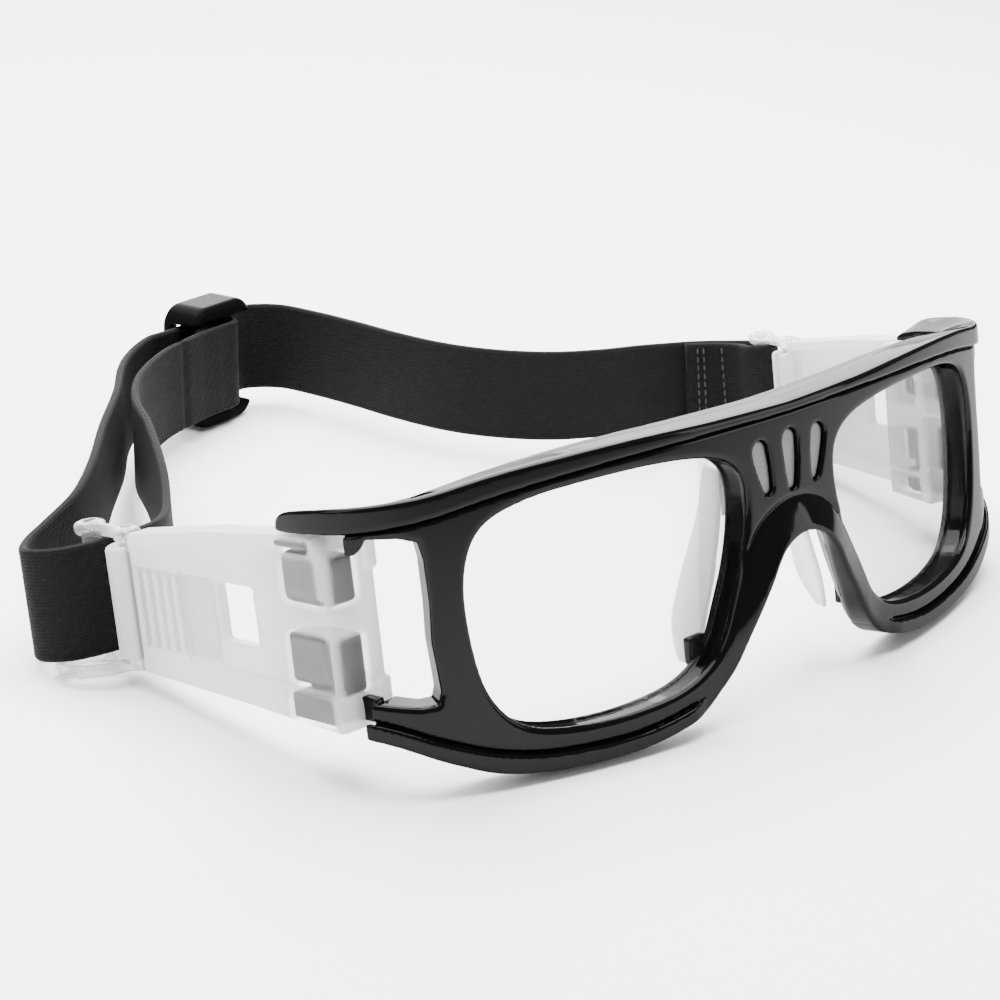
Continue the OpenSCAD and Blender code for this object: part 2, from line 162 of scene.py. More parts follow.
class Field:
    """A flat distance field kept on a grid and read between its points."""

    cell = 0.25

    def __init__(self, lo, hi, points, closed=True, soften=0):
        self.lo = lo
        n = [int(math.ceil((hi[k] - lo[k]) / self.cell)) + 1 for k in (0, 1)]
        grid = np.meshgrid(*[lo[k] + self.cell * np.arange(n[k]) for k in (0, 1)], indexing="ij")
        v = poly_distance(points, *grid, closed)
        for _ in range(soften):
            w = np.pad(v, 1, mode="edge")
            v = (w[:-2, 1:-1] + w[2:, 1:-1] + w[1:-1, :-2] + w[1:-1, 2:] + 2 * w[1:-1, 1:-1]) / 6
        self.v = v

    def __call__(self, x, z):
        i = np.clip((x - self.lo[0]) / self.cell, 0, self.v.shape[0] - 1.001)
        j = np.clip((z - self.lo[1]) / self.cell, 0, self.v.shape[1] - 1.001)
        i0, j0 = i.astype(int), j.astype(int)
        fi, fj = i - i0, j - j0
        v = self.v
        return ((v[i0, j0] * (1 - fi) + v[i0 + 1, j0] * fi) * (1 - fj)
                + (v[i0, j0 + 1] * (1 - fi) + v[i0 + 1, j0 + 1] * fi) * fj)


def slab(flat, d, d0, d1, r):
    """A flat outline between two depths, with edges rounded to r."""
    a = flat + r
    b = np.maximum(d0 - d, d - d1) + r
    return np.minimum(np.maximum(a, b), 0) + np.hypot(np.maximum(a, 0), np.maximum(b, 0)) - r


def block(x, y, z, lo, hi, r):
    """A box between two corners, with edges rounded to r."""
    q = [np.abs(v - (a + b) / 2) - (b - a) / 2 + r for v, a, b in zip((x, y, z), lo, hi)]
    out = np.sqrt(sum(np.maximum(v, 0) ** 2 for v in q))
    return out + np.minimum(np.maximum(np.maximum(q[0], q[1]), q[2]), 0) - r


def rod(x, y, z, a, b, r):
    """A round bar from a to b."""
    ab = np.array(b, float) - np.array(a, float)
    t = np.clip(((x - a[0]) * ab[0] + (y - a[1]) * ab[1] + (z - a[2]) * ab[2]) / (ab @ ab), 0, 1)
    d = np.sqrt((x - a[0] - t * ab[0]) ** 2 + (y - a[1] - t * ab[1]) ** 2 + (z - a[2] - t * ab[2]) ** 2)
    return d - r


def puck(x, y, z, c, r, z0, z1, e):
    """An upright disc with rounded edges."""
    return slab(np.hypot(x - c[0], y - c[1]) - r, z, z0, z1, e)


def join(a, b, k):
    """Union with a fillet about k wide."""
    h = np.clip(0.5 + 0.5 * (b - a) / k, 0, 1)
    return b + (a - b) * h - k * h * (1 - h)


def cut(a, b, k):
    """a less b, with a softened edge."""
    return -join(-a, b, k)


# ---------- meshing ----------
CORNERS = np.array([(i, j, k) for i in (0, 1) for j in (0, 1) for k in (0, 1)])
EDGES = [(a, b) for a in range(8) for b in range(a + 1, 8)
         if np.abs(CORNERS[a] - CORNERS[b]).sum() == 1]


def skin(f, lo, hi, cell):
    """Surface of f = 0 as (points, quads), with the points pulled onto the surface."""
    lo = np.array(lo, float)
    n = np.ceil((np.array(hi, float) - lo) / cell).astype(int) + 1
    axes = [lo[k] + cell * np.arange(n[k]) for k in range(3)]
    V = f(*np.meshgrid(*axes, indexing="ij"))
    inside = V < 0
    count = sum(inside[i:n[0] - 1 + i, j:n[1] - 1 + j, k:n[2] - 1 + k].astype(int)
                for i, j, k in CORNERS)
    cells = np.argwhere((count > 0) & (count < 8))
    ids = np.full(n - 1, -1)
    ids[tuple(cells.T)] = np.arange(len(cells))
    values = [V[tuple((cells + c).T)] for c in CORNERS]
    total = np.zeros((len(cells), 3))
    hits = np.zeros(len(cells))
    for a, b in EDGES:
        m = (values[a] < 0) != (values[b] < 0)
        t = values[a][m] / (values[a][m] - values[b][m])
        total[m] += CORNERS[a] + t[:, None] * (CORNERS[b] - CORNERS[a])
        hits[m] += 1
    points = lo + cell * (cells + total / hits[:, None])
    quads = []
    for axis in range(3):
        u, w = (axis + 1) % 3, (axis + 2) % 3
        shift = np.zeros(3, int)
        shift[axis] = 1
        a = inside[:n[0] - shift[0], :n[1] - shift[1], :n[2] - shift[2]]
        b = inside[shift[0]:, shift[1]:, shift[2]:]
        at = np.argwhere(a != b)
        at = at[(at[:, u] > 0) & (at[:, w] > 0) & (at[:, u] < n[u] - 1) & (at[:, w] < n[w] - 1)]
        eu, ew = np.zeros(3, int), np.zeros(3, int)
        eu[u], ew[w] = 1, 1
        q = np.stack([ids[tuple((at - eu - ew).T)], ids[tuple((at - ew).T)], ids[tuple(at.T)],
                      ids[tuple((at - eu).T)]], 1)
        back = ~a[tuple(at.T)]
        q[back] = q[back][:, ::-1]
        quads.append(q)
    quads = np.concatenate(quads)
    quads = quads[(quads >= 0).all(1)]
    for _ in range(4):
        v, g = slope(f, points)
        move = v / np.maximum((g * g).sum(1), 0.05)
        points = points - np.clip(move, -cell / 2, cell / 2)[:, None] * g
    return points, quads


def slope(f, p):
    """Value and gradient of f at the points."""
    e = 0.03
    v = f(p[:, 0], p[:, 1], p[:, 2])
    g = np.stack([(f(*(p + o).T) - f(*(p - o).T)) / (2 * e) for o in np.eye(3) * e], 1)
    return v, g


def new_mesh(name, points, faces):
    """Mesh object with its faces turned outward."""
    mesh = bpy.data.meshes.new(name)
    points = np.asarray(points, float)
    faces = [list(map(int, f)) for f in faces]
    a, b, c, d = (points[[f[k] for f in faces if len(f) == 4]] for k in range(4))
    if ((a - c) * np.cross(b, d)).sum() < 0:
        faces = [f[::-1] for f in faces]
    mesh.from_pydata([tuple(p) for p in points], [], faces)
    mesh.update()
    mesh.polygons.foreach_set("use_smooth", [True] * len(mesh.polygons))
    obj = bpy.data.objects.new(name, mesh)
    bpy.context.scene.collection.objects.link(obj)
    return obj


def side_word(left):
    return "left" if left else "right"


def finish_piece(obj, body, material, nodes=()):
    """Gives a piece its material, its body and the CAD nodes that it stands for."""
    obj.data.materials.append(material)
    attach(obj, body)
    if nodes:
        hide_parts(*nodes)
    return obj


def attribute(obj, name, values):
    a = obj.data.attributes.new(name, "FLOAT", "POINT")
    a.data.foreach_set("value", np.asarray(values, np.float32))


# ---------- materials ----------
def material(name, base, rough, build=None, **inputs):
    mat = bpy.data.materials.new(name)
    mat.use_nodes = True
    tree = mat.node_tree
    bsdf = tree.nodes["Principled BSDF"]
    bsdf.inputs["Base Color"].default_value = (*base, 1)
    bsdf.inputs["Roughness"].default_value = rough
    for key, value in inputs.items():
        bsdf.inputs[key.replace("_", " ")].default_value = value
    if build:
        build(tree, bsdf)
    return mat


def node(tree, kind, **values):
    n = tree.nodes.new(kind)
    for key, value in values.items():
        if hasattr(n, key):
            setattr(n, key, value)
        else:
            n.inputs[key.replace("_", " ")].default_value = value
    return n


def noise(tree, scale, detail=3.0):
    c = tree.nodes.new("ShaderNodeTexCoord")
    n = node(tree, "ShaderNodeTexNoise", Scale=scale, Detail=detail)
    tree.links.new(c.outputs["Object"], n.inputs["Vector"])
    return n.outputs["Fac"]


def ramp(tree, fac, low, high, a=0.0, b=1.0):
    """fac from a..b stretched to low..high."""
    r = tree.nodes.new("ShaderNodeMapRange")
    r.inputs["From Min"].default_value = a
    r.inputs["From Max"].default_value = b
    r.inputs["To Min"].default_value = low
    r.inputs["To Max"].default_value = high
    tree.links.new(fac, r.inputs["Value"])
    return r.outputs["Result"]


def bump(tree, bsdf, height, strength, distance):
    b = node(tree, "ShaderNodeBump", Strength=strength, Distance=distance)
    tree.links.new(height, b.inputs["Height"])
    tree.links.new(b.outputs["Normal"], bsdf.inputs["Normal"])


def mix_colour(tree, fac, a, b):
    m = tree.nodes.new("ShaderNodeMix")
    m.data_type = "RGBA"
    m.inputs[6].default_value = (*a, 1)
    m.inputs[7].default_value = (*b, 1)
    tree.links.new(fac, m.inputs[0])
    return m.outputs[2]


def see_through(tree, bsdf, fac):
    """Mixes the finish with clear; fac is how much shows through."""
    clear = tree.nodes.new("ShaderNodeBsdfTransparent")
    mix = tree.nodes.new("ShaderNodeMixShader")
    out = tree.nodes["Material Output"]
    tree.links.new(bsdf.outputs[0], mix.inputs[1])
    tree.links.new(clear.outputs[0], mix.inputs[2])
    if isinstance(fac, float):
        mix.inputs[0].default_value = fac
    else:
        tree.links.new(fac, mix.inputs[0])
    tree.links.new(mix.outputs[0], out.inputs["Surface"])


def gloss_black(tree, bsdf):
    tree.links.new(ramp(tree, noise(tree, 260, 4), 0.03, 0.1), bsdf.inputs["Roughness"])
    tree.links.new(mix_colour(tree, noise(tree, 35), (0.0015, 0.0015, 0.0018), (0.003, 0.003, 0.0034)),
                   bsdf.inputs["Base Color"])
    bump(tree, bsdf, noise(tree, 90, 2), 0.05, 0.0002)
    dull = tree.nodes.new("ShaderNodeBsdfDiffuse")
    dull.inputs["Color"].default_value = (0.002, 0.002, 0.0024, 1)
    mix = tree.nodes.new("ShaderNodeMixShader")
    mix.inputs[0].default_value = 0.75
    tree.links.new(bsdf.outputs[0], mix.inputs[1])
    tree.links.new(dull.outputs[0], mix.inputs[2])
    tree.links.new(mix.outputs[0], tree.nodes["Material Output"].inputs["Surface"])


def slider_finish(tree, bsdf):
    tree.links.new(ramp(tree, noise(tree, 700, 4), 0.16, 0.3), bsdf.inputs["Roughness"])
    bump(tree, bsdf, noise(tree, 1600, 3), 0.15, 0.0001)


def frosted(tree, bsdf):
    """Milky plastic: cloudy, letting some light through, with clear spots over the hinge cores, and its
    colour darkened by painted shade in hollows and over the cores.
    """
    tree.links.new(ramp(tree, noise(tree, 500, 4), 0.22, 0.38), bsdf.inputs["Roughness"])
    milk = mix_colour(tree, noise(tree, 45, 3), (0.62, 0.63, 0.635), (0.78, 0.785, 0.79))
    # Painted shade: this attribute darkens the base colour and the translucent glow down to about a
    # fifth.
    d = node(tree, "ShaderNodeAttribute", attribute_name="painted_shade")
    dim = mix_colour(tree, d.outputs["Fac"], (0.85, 0.855, 0.86), (0.2, 0.205, 0.21))
    tone = tree.nodes.new("ShaderNodeMix")
    tone.data_type = "RGBA"
    tone.blend_type = "MULTIPLY"
    tone.inputs[0].default_value = 1.0
    tree.links.new(milk, tone.inputs[6])
    tree.links.new(dim, tone.inputs[7])
    tree.links.new(tone.outputs[2], bsdf.inputs["Base Color"])
    bump(tree, bsdf, noise(tree, 260, 3), 0.1, 0.0002)
    glow = tree.nodes.new("ShaderNodeBsdfTranslucent")
    tree.links.new(dim, glow.inputs["Color"])
    soft = tree.nodes.new("ShaderNodeMixShader")
    soft.inputs[0].default_value = 0.45
    clear = tree.nodes.new("ShaderNodeBsdfTransparent")
    mix = tree.nodes.new("ShaderNodeMixShader")
    tree.links.new(bsdf.outputs[0], soft.inputs[1])
    tree.links.new(glow.outputs[0], soft.inputs[2])
    tree.links.new(soft.outputs[0], mix.inputs[1])
    tree.links.new(clear.outputs[0], mix.inputs[2])
    a = node(tree, "ShaderNodeAttribute", attribute_name="clear")
    tree.links.new(ramp(tree, a.outputs["Fac"], 0.12, 0.92), mix.inputs[0])
    tree.links.new(mix.outputs[0], tree.nodes["Material Output"].inputs["Surface"])


def silicone(tree, bsdf):
    tree.links.new(ramp(tree, noise(tree, 400, 3), 0.3, 0.5), bsdf.inputs["Roughness"])
    tree.links.new(mix_colour(tree, noise(tree, 70, 2), (0.72, 0.73, 0.74), (0.82, 0.825, 0.83)),
                   bsdf.inputs["Base Color"])
    bump(tree, bsdf, noise(tree, 300, 2), 0.08, 0.0002)
    see_through(tree, bsdf, 0.3)


def clear_plastic(tree, bsdf):
    tree.links.new(ramp(tree, noise(tree, 300, 3), 0.04, 0.16), bsdf.inputs["Roughness"])
    tree.links.new(mix_colour(tree, noise(tree, 120, 2), (0.3, 0.305, 0.31), (0.62, 0.625, 0.63)),
                   bsdf.inputs["Base Color"])
    bump(tree, bsdf, noise(tree, 260, 3), 0.35, 0.0006)
    f = node(tree, "ShaderNodeLayerWeight", Blend=0.35)
    see_through(tree, bsdf, ramp(tree, f.outputs["Facing"], 0.75, 0.12))


def lens_finish(tree, bsdf):
    tree.links.new(ramp(tree, noise(tree, 90, 4), 0.0, 0.03), bsdf.inputs["Roughness"])
    f = node(tree, "ShaderNodeFresnel", IOR=1.45)
    see_through(tree, bsdf, ramp(tree, f.outputs["Fac"], 0.99, 0.6))


def inlay_finish(tree, bsdf):
    tree.links.new(mix_colour(tree, noise(tree, 500, 4), (0.06, 0.06, 0.062), (0.12, 0.12, 0.123)),
                   bsdf.inputs["Base Color"])
    bump(tree, bsdf, noise(tree, 1800, 3), 0.3, 0.0001)


def core_finish(tree, bsdf):
    tree.links.new(mix_colour(tree, noise(tree, 210, 4), (0.02, 0.02, 0.0205), (0.11, 0.11, 0.112)),
                   bsdf.inputs["Base Color"])
    bump(tree, bsdf, noise(tree, 900, 3), 0.2, 0.0002)


def pin_finish(tree, bsdf):
    tree.links.new(ramp(tree, noise(tree, 900, 4), 0.2, 0.42), bsdf.inputs["Roughness"])
    bump(tree, bsdf, noise(tree, 2200, 2), 0.15, 0.00005)


def elastic(tree, bsdf):
    """Woven elastic: ribs along the strap, crossed by fine picks. UVs are in millimetres."""
    uv = tree.nodes.new("ShaderNodeUVMap")
    uv.uv_map = "weave"
    sep = tree.nodes.new("ShaderNodeSeparateXYZ")
    tree.links.new(uv.outputs["UV"], sep.inputs[0])

    def calc(op, a, b=None):
        m = tree.nodes.new("ShaderNodeMath")
        m.operation = op
        for i, v in enumerate((a, b)):
            if v is None:
                continue
            if isinstance(v, (int, float)):
                m.inputs[i].default_value = v
            else:
                tree.links.new(v, m.inputs[i])
        return m.outputs[0]

    u, v = sep.outputs[0], sep.outputs[1]
    warp = calc("SINE", calc("MULTIPLY", v, 2 * math.pi / 0.62))
    row = calc("SINE", calc("ADD", calc("MULTIPLY", u, 2 * math.pi / 0.9),
                            calc("MULTIPLY", calc("SIGN", warp), math.pi / 2)))
    twill = calc("SINE", calc("MULTIPLY", calc("ADD", u, calc("MULTIPLY", v, 0.8)), 2 * math.pi / 2.4))
    n = node(tree, "ShaderNodeTexNoise", Scale=1.1, Detail=4.0)
    tree.links.new(uv.outputs["UV"], n.inputs["Vector"])
    height = calc("ADD", calc("ADD", calc("MULTIPLY", warp, 0.35), calc("MULTIPLY", row, 0.45)),
                  calc("ADD", calc("MULTIPLY", twill, 0.2), calc("MULTIPLY", n.outputs["Fac"], 0.9)))
    bump(tree, bsdf, height, 0.55, 0.00022)
    fleck = node(tree, "ShaderNodeTexNoise", Scale=2.6, Detail=2.0)
    tree.links.new(uv.outputs["UV"], fleck.inputs["Vector"])
    # Painted shade: the base colour is darker in the weave's hollows and lighter on its raised ribs,
    # following the bump height.
    shade = ramp(tree, height, 0.0, 1.0, -0.6, 1.3)
    base = mix_colour(tree, shade, (0.0015, 0.0015, 0.0016), (0.005, 0.005, 0.0053))
    m = tree.nodes.new("ShaderNodeMix")
    m.data_type = "RGBA"
    tree.links.new(ramp(tree, fleck.outputs["Fac"], 0.0, 1.0, 0.66, 0.8), m.inputs[0])
    tree.links.new(base, m.inputs[6])
    m.inputs[7].default_value = (0.03, 0.03, 0.031, 1)
    tree.links.new(m.outputs[2], bsdf.inputs["Base Color"])


def thread(tree, bsdf):
    tree.links.new(mix_colour(tree, noise(tree, 2500, 3), (0.01, 0.01, 0.0105), (0.025, 0.025, 0.026)),
                   bsdf.inputs["Base Color"])
    bump(tree, bsdf, noise(tree, 4000, 2), 0.4, 0.0001)


BLACK = material("gloss_black", (0.002, 0.002, 0.0024), 0.05, gloss_black, IOR=1.48)
LENS = material("lens_clear", (0.03, 0.032, 0.034), 0.01, lens_finish, IOR=1.45)
PAD = material("silicone", (0.78, 0.79, 0.8), 0.4, silicone, IOR=1.42, Sheen_Weight=0.15)
INLAY = material("inlay_grey", (0.3, 0.3, 0.3), 0.5, inlay_finish)
FROST = material("frosted", (0.85, 0.855, 0.86), 0.35, frosted, IOR=1.46)
CORE = material("hinge_core", (0.25, 0.25, 0.25), 0.5, core_finish)
PIN = material("pin_steel", (0.6, 0.6, 0.61), 0.3, pin_finish, Metallic=1.0)
CLEAR = material("ring_clear", (0.85, 0.86, 0.87), 0.08, clear_plastic, IOR=1.5)
SLIDER = material("slider_black", (0.003, 0.003, 0.0034), 0.3, slider_finish, IOR=1.05)
STRAP = material("elastic", (0.004, 0.004, 0.0042), 0.85, elastic, IOR=1.22,
                 Sheen_Weight=0.015, Sheen_Roughness=0.5)
THREAD = material("thread", (0.03, 0.03, 0.031), 0.7, thread)


# ---------- front frame ----------
def curve_s(points):
    """Smooth curve on the wrap through points (x, z) of the front outline."""
    return smooth_line([to_s(p) for p in points], 4)


brow_top = np.vstack([
    curve_s([(0, 46.4), (20, 46.8), (40, 47.3), (57, 46.8), (68, 45.6)]),
    smooth_line([(73, 45.3), (80, 45.0), (88, 44.7), (94, 44.2), (97, 43.5), (98.5, 42.4),
                 (98.9, 40.4)], 3)])
brow_ridge = curve_s([(0, 44.8), (20, 44.9), (40, 44.5), (57, 43.4), (72, 41.4), (HALF, 40)])
arm_edge = [(98.5, 40.4), (90, 40.4), (87.7, 39.5), (86.8, 37.0), (86.2, 36.6), (83.6, 37.2),
            (82.6, 38.0), (81.6, 39.6)]
rim_edge = [(74, 39.2), (71.6, 38.2), (71, 35), (70.9, 28), (71.2, 22), (70.8, 17), (70.6, 14),
            (71.2, 12.3), (73.5, 12.2), (HALF, 15.6)]
window = np.array(arm_edge + [to_s(p) for p in rim_edge])
ledge_foot = [(HALF, 9.6), (78, 7.2), (70.5, 2.6), (63, -0.9), (53, -2.8), (38, -3.46), (26, -1.6),
              (21, 1.2)]
nose_edge = [(17.2, 4.9), (14.1, 9.4), (11.5, 13.2), (9.5, 16.4), (7.4, 19.9), (5.2, 22.4),
             (2.4, 23.8), (0, 24.2)]
rim_foot = curve_s(ledge_foot + nose_edge)
foot_ridge = curve_s([(HALF, 12.6), (78, 10.2), (71, 6.2), (63, 2.6), (53, 0.2), (38, -0.7), (26, 1),
                      (22.4, 3.4)])
lens_points = [(11.1, 31), (12.7, 23), (16.1, 15), (20.2, 7.8), (27, 3.8), (38, 2.4), (50, 3),
               (58.5, 5.6), (63.6, 12), (65.6, 22), (65.4, 32), (62, 38.8), (54, 41.8), (42, 42.6),
               (28, 42.3), (17.5, 40.6), (12.2, 37)]
lens_edge = smooth_line([to_s(p) for p in lens_points], 5, True)
SLOTS = [((0, 39.8), (0, 32.4)), ((7.5, 39.2), (6.2, 32.8))]
LO, HI = (-0.5, -6.0), (101.0, 50.0)


def mirrored(half):
    """A closed outline from its left half."""
    return np.vstack([half, [(-a, b) for a, b in half[::-1]]])


def half_field(points, closed=True, soften=1):
    return Field(LO, HI, points=points, closed=closed, soften=soften)


outer = half_field(mirrored(np.vstack([brow_top, window, rim_foot])))
brow_band = half_field(mirrored(np.vstack([brow_top, [(95.4, 40.0)], brow_ridge[::-1]])))
ledge_band = half_field(np.vstack([foot_ridge, curve_s(ledge_foot[::-1])]))
brow_line = half_field(brow_ridge, False, 0)
foot_line = half_field(foot_ridge[:-2], False, 0)
opening = half_field(lens_edge)


def slot_field(a, z, trim=0.0):
    """Outline of the bridge's slots, which widen towards the top."""
    fields = []
    for top, foot in SLOTS:
        p, q = np.array(foot), np.array(top)
        t = np.clip(((a - p[0]) * (q - p)[0] + (z - p[1]) * (q - p)[1]) / ((q - p) @ (q - p)), 0, 1)
        d = np.hypot(a - p[0] - t * (q - p)[0], z - p[1] - t * (q - p)[1])
        fields.append(d - (1.2 + 1.5 * t - 0.7 * t * t) + trim)
    return np.minimum(*fields)


def frame_shape(s, z, d):
    """The front moulding, in plate coordinates."""
    a = np.abs(s)
    fall = 1.3 * (np.minimum(a, HALF) / HALF) ** 2 + 0.6 * step(a, 74, 84)
    zt = z + fall * np.clip(d, 0, 6) / 5.5 * step(z, 38, 44)
    edge = outer(a, zt)
    bead = BEAD * step(d, 1.2, 1.5) - BEAD * step(d, 4.6, 4.9)
    rim = np.maximum(edge, -opening(a, zt) - 0.35 + bead)
    # The edge over the nose comes forward in a lip and is thin behind.
    near = np.maximum(-edge, 0)
    nose = (1 - step(a, 17, 24)) * step(31.5 - z, 0, 1.2)
    lip = np.clip(0.14 * z, 0, 2.6) * nose
    t = np.clip(near / 5.8, 0, 1)
    seam = 0.25 * np.exp(-((near - 6.0) / 0.45) ** 2) * nose * step(z, 8, 16)
    face = -lip * (1 - t) ** 0.9 + seam
    hook = step(a, 80.2, 81.4) * (1 - step(a, 88.2, 89)) * (1 - step(z, 39.4, 40.2)) * step(z, 30, 32)
    nose_back = np.clip(5.6 - 0.28 * z, -0.7, 6) + 1.3 * near
    back = np.minimum(RIM - 3.4 * hook, RIM * (1 - nose) + nose_back * nose)
    body = slab(rim, d, face, back, 0.8)
    depth = np.maximum(BROW - 0.000647 * a * a, 5.6) + 1.0 * step(a, 78, 90)
    proud = PROUD * (1 - step(a, 82, 94))
    brow = slab(brow_band(a, zt), d, -proud, depth, 0.55)
    fade = step(a, 22.5, 28)
    ledge = slab(ledge_band(a, z), d, -PROUD * fade + 0.2 * (1 - fade), RIM, 0.55)
    out = join(join(body, brow, 0.25), ledge, 0.25)
    brow_groove = np.hypot(brow_line(a, z) + 0.15, d - 0.1) - GROOVE
    foot_groove = np.hypot(foot_line(a, z) + 0.15, d - 0.1) - GROOVE * fade
    out = cut(out, np.minimum(brow_groove, foot_groove), 0.25)
    out = cut(out, slab(slot_field(a, z), d, -3, 2, 0.3), 0.35)
    x, y, _ = wrap(s, z, d)
    r = np.hypot(np.abs(x) - HINGE[0], y - HINGE[1])
    foot_zone = np.maximum(r - FOOT_CLEAR, z - FOOT_TOP)
    brow_zone = np.maximum(r - BROW_CLEAR, z - BROW_FOOT)
    return cut(out, np.minimum(foot_zone, brow_zone), 0.4)


def tab_shape(x, y, z):
    """The tabs that hold the nose pad, and the tongues that the hinge pins pass through."""
    a = np.abs(x)
    tab = block(a, y, z, (17.8, 6.2, 5.4), (22.0, 8.1, 10.2), 0.5)
    tongue = join(puck(a, y, z, HINGE, 4.1, 10.4, 14.2, 0.4),
                  block(a, y, z, (HINGE[0] - 1, 20.4, 10.4), (HINGE[0] + 1, 30, 14.2), 0.3), 0.6)
    hole = np.hypot(a - HINGE[0], y - HINGE[1]) - 1.25
    return np.minimum(tab, cut(tongue, hole, 0.2))


def plate_piece(name, shape, lo, hi, cell):
    """A piece drawn in plate coordinates and bent round the wrap."""
    p, q = skin(shape, lo, hi, cell)
    return new_mesh(name, lean(np.stack(wrap(*p.T), 1)), q)


def table_piece(name, shape, lo, hi, cell):
    """A piece drawn on the upright goggles."""
    p, q = skin(shape, lo, hi, cell)
    return new_mesh(name, lean(p), q)


front = plate_piece("front_moulding", frame_shape, (-99.5, -4.5, -3.6), (99.5, 48.4, 10), 0.42)
finish_piece(front, "frame", BLACK, ["front_frame"])
for left in (True, False):
    k = 1 if left else -1
    lo, hi = sorted((k * 17, k * 22.8)), sorted((k * 72.6, k * 82.2))
    tab = table_piece("pad_tab_" + side_word(left), tab_shape, (lo[0], 5.4, 4.6), (lo[1], 8.9, 11), 0.35)
    finish_piece(tab, "frame", BLACK)
    tongue = table_piece("pivot_tongue_" + side_word(left), tab_shape, (hi[0], 20, 9.8),
                         (hi[1], 35.4, 14.8), 0.35)
    finish_piece(tongue, "frame", BLACK)


def inlay_shape(s, z, d):
    return slab(slot_field(np.abs(s), z, 0.06), d, *INLAY_DEPTH, 0.35)


for name, lo, hi in (("right", -10.5, -4), ("centre", -3, 3), ("left", 4, 10.5)):
    piece = plate_piece("inlay_" + name, inlay_shape, (lo, 29.5, 0.4), (hi, 43, 2.4), 0.3)
    finish_piece(piece, "frame", INLAY, ["vent_inlay_" + name])


def lens_shape(s, z, d):
    return slab(opening(np.abs(s), z) - LENS_BITE, d, *LENS_DEPTH, 0.3)


for left in (True, False):
    lo, hi = (8, 72) if left else (-72, -8)
    lens_name = "lens_" + side_word(left)
    piece = plate_piece(lens_name + "_clear", lens_shape, (lo, 0.5, 2.2), (hi, 44.5, 5.2), 0.6)
    finish_piece(piece, "frame", LENS, [lens_name])


# ---------- nose pad ----------
def loft(rows, thick):
    """Closed sheet through rows of points, thin at its edges."""
    rows = np.array(rows, float)
    n, m = rows.shape[:2]
    du = np.gradient(rows, axis=0)
    dv = np.gradient(rows, axis=1)
    nor = np.cross(du, dv)
    nor /= np.linalg.norm(nor, axis=2, keepdims=True)
    u = np.linspace(-1, 1, n)[:, None]
    v = np.linspace(-1, 1, m)[None, :]
    w = thick / 2 * np.sqrt(np.clip(1 - np.abs(u) ** 12, 0, 1) * np.clip(1 - np.abs(v) ** 12, 0, 1))
    a = (rows + nor * w[..., None]).reshape(-1, 3)
    b = (rows - nor * w[..., None]).reshape(-1, 3)
    faces = []
    for i in range(n - 1):
        for j in range(m - 1):
            k = i * m + j
            faces.append((k, k + m, k + m + 1, k + 1))
            faces.append(tuple(n * m + t for t in (k, k + 1, k + m + 1, k + m)))
    ring = ([j for j in range(m)] + [i * m + m - 1 for i in range(1, n)]
            + [(n - 1) * m + j for j in range(m - 2, -1, -1)] + [i * m for i in range(n - 2, 0, -1)])
    for k in range(len(ring)):
        p, q = ring[k], ring[(k + 1) % len(ring)]
        faces.append((p, q, q + n * m, p + n * m))
    return np.vstack([a, b]), faces


pad_front = smooth_line([(9.6, 7.7, 36.2), (10.1, 7.8, 31), (11.0, 8.0, 25), (12.8, 8.2, 18),
                         (15.2, 8.6, 11), (16.1, 9.0, 7.5), (17.0, 9.8, 4.6)], 14)
pad_rear = smooth_line([(8.2, 12.4, 36.6), (7.6, 13.9, 32.5), (8.4, 14.1, 29), (11.3, 14.3, 23.5),
                        (14.3, 14.7, 17.5), (16.6, 15.1, 10.5), (18.3, 12.6, 4.4)], 14)
points, faces = [], []


def add_sheet(rows, thick):
    """Adds a sheet to the pad's points and faces."""
    p, f = loft(rows, thick)
    base = sum(len(q) for q in points)
    points.append(p)
    faces.extend([tuple(base + k for k in g) for g in f])


for k in (1, -1):
    rows = []
    for i, (a, b) in enumerate(zip(pad_front, pad_rear)):
        t = i / (len(pad_front) - 1)
        row = []
        for v in np.linspace(0, 1, 22):
            p = a + (b - a) * v
            p = p + np.array([1.0, -0.4, 0]) * math.sin(math.pi * v) * (0.35 + 0.65 * t)
            p[0] -= 0.4 * float(step(t, 0.44, 0.47)) * math.sin(math.pi * min(1, 1.6 * v))
            row.append(p * np.array([k, 1, 1]))
        rows.append(row)
    add_sheet(rows, 1.2)
bridge_rows = [[(x, 7.5 + x * x / 376, z) for z in np.linspace(28.2, 36.6, 14)]
               for x in np.linspace(-10, 10, 30)]
add_sheet(bridge_rows, 1.3)
pad = new_mesh("nose_pad_soft", lean(np.vstack(points)), faces)
finish_piece(pad, "frame", PAD, ["nose_pad"])

# ---------- side shields, drawn on the wearer's left ----------
SIDE_LO, SIDE_HI = (20.0, 5.0), (88.0, 44.0)
wall_field = Field(SIDE_LO, SIDE_HI, soften=2, points=[
    (30, 9.1), (37, 9.4), (48, 10), (77.6, 11.1), (77.6, 35.2), (55, 38.2), (37, 39.8), (30, 40)])
block_field = Field(SIDE_LO, SIDE_HI, soften=2, points=[
    (24.4, 8.8), (37, 9.4), (37, 39.8), (36, 40), (24.5, 40), (24.5, 15.4), (23.8, 14.9), (23.3, 13.4),
    (23.2, 11.4), (23.7, 9.6)])
cap_field = Field(SIDE_LO, SIDE_HI, soften=3, points=[
    (24.4, 8.9), (37.4, 9.4), (37.4, 14.5), (24.5, 14.9), (23.6, 14.4), (23.2, 13.2), (23.2, 11.0),
    (23.7, 9.6)])
CORES = {
    "upper": [((76.4, 26.6, 28.7), (81.4, 36.6, 37.0), 1.5), ((75.6, 25.1, 29.0), (80.8, 33, 36.6), 0.8),
              ((77, 28.6, 37.9), (81.9, 36.6, 38.9), 0.4)],
    "lower": [((76.4, 26.6, 15.6), (81.4, 36.6, 23.8), 0.9), ((75.4, 25.1, 14.2), (80.9, 33, 23.8), 0.8),
              ((76.0, 26.0, 9.8), (81.9, 36.6, 14.0), 0.4)],
}


